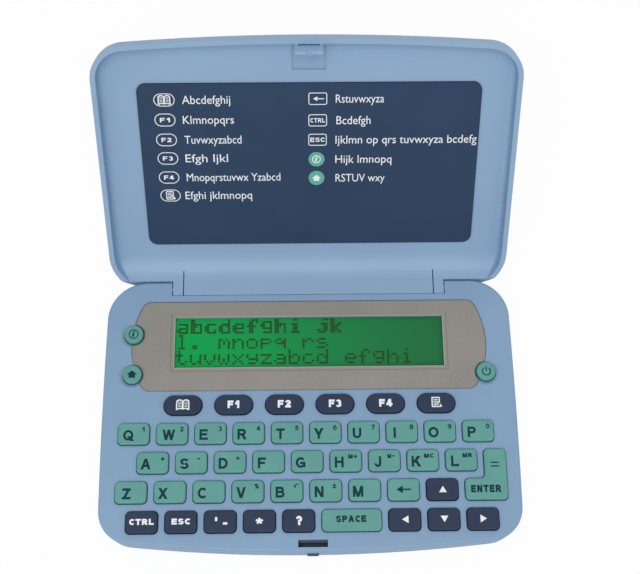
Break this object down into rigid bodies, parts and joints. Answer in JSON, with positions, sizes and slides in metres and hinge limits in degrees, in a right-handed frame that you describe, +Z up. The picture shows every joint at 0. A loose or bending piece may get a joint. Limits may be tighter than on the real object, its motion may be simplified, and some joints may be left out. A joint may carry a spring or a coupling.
{
  "type": "electronic dictionary",
  "caption": "Clamshell pocket dictionary: hinged tray lid with a legend panel, dot-matrix display in a bowed bezel, and a sprung keyboard under a hooked latch.",
  "frame": {"origin": "centre of the flat underside of the base, on the surface it rests on", "axes": "+X to the right of the user, +Y from the user towards the hinge, +Z up out of the keyboard; the lid is stored open at its stop"},
  "size_m": [0.1334, 0.1442, 0.0815],
  "materials": {
    "shell_blue": "light blue moulded ABS with a fine satin sheen",
    "panel_navy": "satin navy printed plastic plate",
    "key_teal": "teal moulded plastic key caps",
    "key_navy": "navy moulded plastic key caps",
    "bezel_silver": "warm silver-grey sprayed plastic plate",
    "window_clear": "clear acrylic lens",
    "lcd_green": "green reflective dot-matrix liquid crystal panel",
    "board_green": "green solder-masked circuit board",
    "mat_rubber": "moulded silicone key mat",
    "cell_steel": "nickel-plated steel coin cells",
    "screw_steel": "zinc-plated steel screws",
    "latch_black": "dark moulded latch button"
  },
  "bodies": {
    "base": {"keyboard_cover": "shell_blue", "bottom_case": "shell_blue", "display_bezel": "bezel_silver", "display_window": "window_clear", "lcd_panel": "lcd_green", "circuit_board": "board_green", "key_mat": "mat_rubber", "battery_cover": "shell_blue", "coin_cells": "cell_steel", "case_screws": "screw_steel"},
    "lid": {"lid_shell": "shell_blue", "lid_panel": "panel_navy"},
    "latch": {"latch_button": "latch_black"},
    "key_space": {"key_space": "key_teal"},
    "key_enter": {"key_enter": "key_teal"},
    "key_q": {"key_q": "key_teal"},
    "key_power": {"key_power": "key_teal"},
    "key_dictionary": {"key_dictionary": "key_navy"},
    "key_a": {"key_a": "key_teal"},
    "key_apostrophe": {"key_apostrophe": "key_navy"},
    "key_asterisk": {"key_asterisk": "key_navy"},
    "key_b": {"key_b": "key_teal"},
    "key_back": {"key_back": "key_navy"},
    "key_c": {"key_c": "key_teal"},
    "key_conjugation": {"key_conjugation": "key_navy"},
    "key_control": {"key_control": "key_navy"},
    "key_correction": {"key_correction": "key_teal"},
    "key_d": {"key_d": "key_teal"},
    "key_down": {"key_down": "key_navy"},
    "key_e": {"key_e": "key_teal"},
    "key_f": {"key_f": "key_teal"},
    "key_features": {"key_features": "key_navy"},
    "key_g": {"key_g": "key_teal"},
    "key_h": {"key_h": "key_teal"},
    "key_i": {"key_i": "key_teal"},
    "key_index": {"key_index": "key_navy"},
    "key_info": {"key_info": "key_teal"},
    "key_j": {"key_j": "key_teal"},
    "key_k": {"key_k": "key_teal"},
    "key_l": {"key_l": "key_teal"},
    "key_left": {"key_left": "key_navy"},
    "key_list": {"key_list": "key_navy"},
    "key_m": {"key_m": "key_teal"},
    "key_n": {"key_n": "key_teal"},
    "key_o": {"key_o": "key_teal"},
    "key_p": {"key_p": "key_teal"},
    "key_question": {"key_question": "key_navy"},
    "key_r": {"key_r": "key_teal"},
    "key_right": {"key_right": "key_navy"},
    "key_s": {"key_s": "key_teal"},
    "key_shift": {"key_shift": "key_teal"},
    "key_t": {"key_t": "key_teal"},
    "key_thesaurus": {"key_thesaurus": "key_navy"},
    "key_u": {"key_u": "key_teal"},
    "key_up": {"key_up": "key_navy"},
    "key_v": {"key_v": "key_teal"},
    "key_w": {"key_w": "key_teal"},
    "key_x": {"key_x": "key_teal"},
    "key_y": {"key_y": "key_teal"},
    "key_z": {"key_z": "key_teal"}
  },
  "joints": [
    {"name": "lid_hinge", "type": "hinge", "parent": "base", "child": "lid", "pos_m": [0, 0.0424, 0.0104], "axis": [1, 0, 0], "range_deg": [0, 126]},
    {"name": "latch_press", "type": "slide", "parent": "base", "child": "latch", "axis": [0, 1, 0], "range_m": [0, 0.0007], "stiffness_N_per_m": 500, "springref_m": -0.001},
    {"name": "press_space", "type": "slide", "parent": "base", "child": "key_space", "axis": [0, 0, -1], "range_m": [0, 0.0008], "stiffness_N_per_m": 500, "springref_m": -0.0008},
    {"name": "press_enter", "type": "slide", "parent": "base", "child": "key_enter", "axis": [0, 0, -1], "range_m": [0, 0.0008], "stiffness_N_per_m": 500, "springref_m": -0.0008},
    {"name": "press_q", "type": "slide", "parent": "base", "child": "key_q", "axis": [0, 0, -1], "range_m": [0, 0.0008], "stiffness_N_per_m": 500, "springref_m": -0.0008},
    {"name": "press_power", "type": "slide", "parent": "base", "child": "key_power", "axis": [0, 0, -1], "range_m": [0, 0.0008], "stiffness_N_per_m": 500, "springref_m": -0.0008},
    {"name": "press_dictionary", "type": "slide", "parent": "base", "child": "key_dictionary", "axis": [0, 0, -1], "range_m": [0, 0.0008], "stiffness_N_per_m": 500, "springref_m": -0.0008},
    {"name": "press_a", "type": "slide", "parent": "base", "child": "key_a", "axis": [0, 0, -1], "range_m": [0, 0.0008], "stiffness_N_per_m": 500, "springref_m": -0.0008},
    {"name": "press_apostrophe", "type": "slide", "parent": "base", "child": "key_apostrophe", "axis": [0, 0, -1], "range_m": [0, 0.0008], "stiffness_N_per_m": 500, "springref_m": -0.0008},
    {"name": "press_asterisk", "type": "slide", "parent": "base", "child": "key_asterisk", "axis": [0, 0, -1], "range_m": [0, 0.0008], "stiffness_N_per_m": 500, "springref_m": -0.0008},
    {"name": "press_b", "type": "slide", "parent": "base", "child": "key_b", "axis": [0, 0, -1], "range_m": [0, 0.0008], "stiffness_N_per_m": 500, "springref_m": -0.0008},
    {"name": "press_back", "type": "slide", "parent": "base", "child": "key_back", "axis": [0, 0, -1], "range_m": [0, 0.0008], "stiffness_N_per_m": 500, "springref_m": -0.0008},
    {"name": "press_c", "type": "slide", "parent": "base", "child": "key_c", "axis": [0, 0, -1], "range_m": [0, 0.0008], "stiffness_N_per_m": 500, "springref_m": -0.0008},
    {"name": "press_conjugation", "type": "slide", "parent": "base", "child": "key_conjugation", "axis": [0, 0, -1], "range_m": [0, 0.0008], "stiffness_N_per_m": 500, "springref_m": -0.0008},
    {"name": "press_control", "type": "slide", "parent": "base", "child": "key_control", "axis": [0, 0, -1], "range_m": [0, 0.0008], "stiffness_N_per_m": 500, "springref_m": -0.0008},
    {"name": "press_correction", "type": "slide", "parent": "base", "child": "key_correction", "axis": [0, 0, -1], "range_m": [0, 0.0008], "stiffness_N_per_m": 500, "springref_m": -0.0008},
    {"name": "press_d", "type": "slide", "parent": "base", "child": "key_d", "axis": [0, 0, -1], "range_m": [0, 0.0008], "stiffness_N_per_m": 500, "springref_m": -0.0008},
    {"name": "press_down", "type": "slide", "parent": "base", "child": "key_down", "axis": [0, 0, -1], "range_m": [0, 0.0008], "stiffness_N_per_m": 500, "springref_m": -0.0008},
    {"name": "press_e", "type": "slide", "parent": "base", "child": "key_e", "axis": [0, 0, -1], "range_m": [0, 0.0008], "stiffness_N_per_m": 500, "springref_m": -0.0008},
    {"name": "press_f", "type": "slide", "parent": "base", "child": "key_f", "axis": [0, 0, -1], "range_m": [0, 0.0008], "stiffness_N_per_m": 500, "springref_m": -0.0008},
    {"name": "press_features", "type": "slide", "parent": "base", "child": "key_features", "axis": [0, 0, -1], "range_m": [0, 0.0008], "stiffness_N_per_m": 500, "springref_m": -0.0008},
    {"name": "press_g", "type": "slide", "parent": "base", "child": "key_g", "axis": [0, 0, -1], "range_m": [0, 0.0008], "stiffness_N_per_m": 500, "springref_m": -0.0008},
    {"name": "press_h", "type": "slide", "parent": "base", "child": "key_h", "axis": [0, 0, -1], "range_m": [0, 0.0008], "stiffness_N_per_m": 500, "springref_m": -0.0008},
    {"name": "press_i", "type": "slide", "parent": "base", "child": "key_i", "axis": [0, 0, -1], "range_m": [0, 0.0008], "stiffness_N_per_m": 500, "springref_m": -0.0008},
    {"name": "press_index", "type": "slide", "parent": "base", "child": "key_index", "axis": [0, 0, -1], "range_m": [0, 0.0008], "stiffness_N_per_m": 500, "springref_m": -0.0008},
    {"name": "press_info", "type": "slide", "parent": "base", "child": "key_info", "axis": [0, 0, -1], "range_m": [0, 0.0008], "stiffness_N_per_m": 500, "springref_m": -0.0008},
    {"name": "press_j", "type": "slide", "parent": "base", "child": "key_j", "axis": [0, 0, -1], "range_m": [0, 0.0008], "stiffness_N_per_m": 500, "springref_m": -0.0008},
    {"name": "press_k", "type": "slide", "parent": "base", "child": "key_k", "axis": [0, 0, -1], "range_m": [0, 0.0008], "stiffness_N_per_m": 500, "springref_m": -0.0008},
    {"name": "press_l", "type": "slide", "parent": "base", "child": "key_l", "axis": [0, 0, -1], "range_m": [0, 0.0008], "stiffness_N_per_m": 500, "springref_m": -0.0008},
    {"name": "press_left", "type": "slide", "parent": "base", "child": "key_left", "axis": [0, 0, -1], "range_m": [0, 0.0008], "stiffness_N_per_m": 500, "springref_m": -0.0008},
    {"name": "press_list", "type": "slide", "parent": "base", "child": "key_list", "axis": [0, 0, -1], "range_m": [0, 0.0008], "stiffness_N_per_m": 500, "springref_m": -0.0008},
    {"name": "press_m", "type": "slide", "parent": "base", "child": "key_m", "axis": [0, 0, -1], "range_m": [0, 0.0008], "stiffness_N_per_m": 500, "springref_m": -0.0008},
    {"name": "press_n", "type": "slide", "parent": "base", "child": "key_n", "axis": [0, 0, -1], "range_m": [0, 0.0008], "stiffness_N_per_m": 500, "springref_m": -0.0008},
    {"name": "press_o", "type": "slide", "parent": "base", "child": "key_o", "axis": [0, 0, -1], "range_m": [0, 0.0008], "stiffness_N_per_m": 500, "springref_m": -0.0008},
    {"name": "press_p", "type": "slide", "parent": "base", "child": "key_p", "axis": [0, 0, -1], "range_m": [0, 0.0008], "stiffness_N_per_m": 500, "springref_m": -0.0008},
    {"name": "press_question", "type": "slide", "parent": "base", "child": "key_question", "axis": [0, 0, -1], "range_m": [0, 0.0008], "stiffness_N_per_m": 500, "springref_m": -0.0008},
    {"name": "press_r", "type": "slide", "parent": "base", "child": "key_r", "axis": [0, 0, -1], "range_m": [0, 0.0008], "stiffness_N_per_m": 500, "springref_m": -0.0008},
    {"name": "press_right", "type": "slide", "parent": "base", "child": "key_right", "axis": [0, 0, -1], "range_m": [0, 0.0008], "stiffness_N_per_m": 500, "springref_m": -0.0008},
    {"name": "press_s", "type": "slide", "parent": "base", "child": "key_s", "axis": [0, 0, -1], "range_m": [0, 0.0008], "stiffness_N_per_m": 500, "springref_m": -0.0008},
    {"name": "press_shift", "type": "slide", "parent": "base", "child": "key_shift", "axis": [0, 0, -1], "range_m": [0, 0.0008], "stiffness_N_per_m": 500, "springref_m": -0.0008},
    {"name": "press_t", "type": "slide", "parent": "base", "child": "key_t", "axis": [0, 0, -1], "range_m": [0, 0.0008], "stiffness_N_per_m": 500, "springref_m": -0.0008},
    {"name": "press_thesaurus", "type": "slide", "parent": "base", "child": "key_thesaurus", "axis": [0, 0, -1], "range_m": [0, 0.0008], "stiffness_N_per_m": 500, "springref_m": -0.0008},
    {"name": "press_u", "type": "slide", "parent": "base", "child": "key_u", "axis": [0, 0, -1], "range_m": [0, 0.0008], "stiffness_N_per_m": 500, "springref_m": -0.0008},
    {"name": "press_up", "type": "slide", "parent": "base", "child": "key_up", "axis": [0, 0, -1], "range_m": [0, 0.0008], "stiffness_N_per_m": 500, "springref_m": -0.0008},
    {"name": "press_v", "type": "slide", "parent": "base", "child": "key_v", "axis": [0, 0, -1], "range_m": [0, 0.0008], "stiffness_N_per_m": 500, "springref_m": -0.0008},
    {"name": "press_w", "type": "slide", "parent": "base", "child": "key_w", "axis": [0, 0, -1], "range_m": [0, 0.0008], "stiffness_N_per_m": 500, "springref_m": -0.0008},
    {"name": "press_x", "type": "slide", "parent": "base", "child": "key_x", "axis": [0, 0, -1], "range_m": [0, 0.0008], "stiffness_N_per_m": 500, "springref_m": -0.0008},
    {"name": "press_y", "type": "slide", "parent": "base", "child": "key_y", "axis": [0, 0, -1], "range_m": [0, 0.0008], "stiffness_N_per_m": 500, "springref_m": -0.0008},
    {"name": "press_z", "type": "slide", "parent": "base", "child": "key_z", "axis": [0, 0, -1], "range_m": [0, 0.0008], "stiffness_N_per_m": 500, "springref_m": -0.0008}
  ]
}
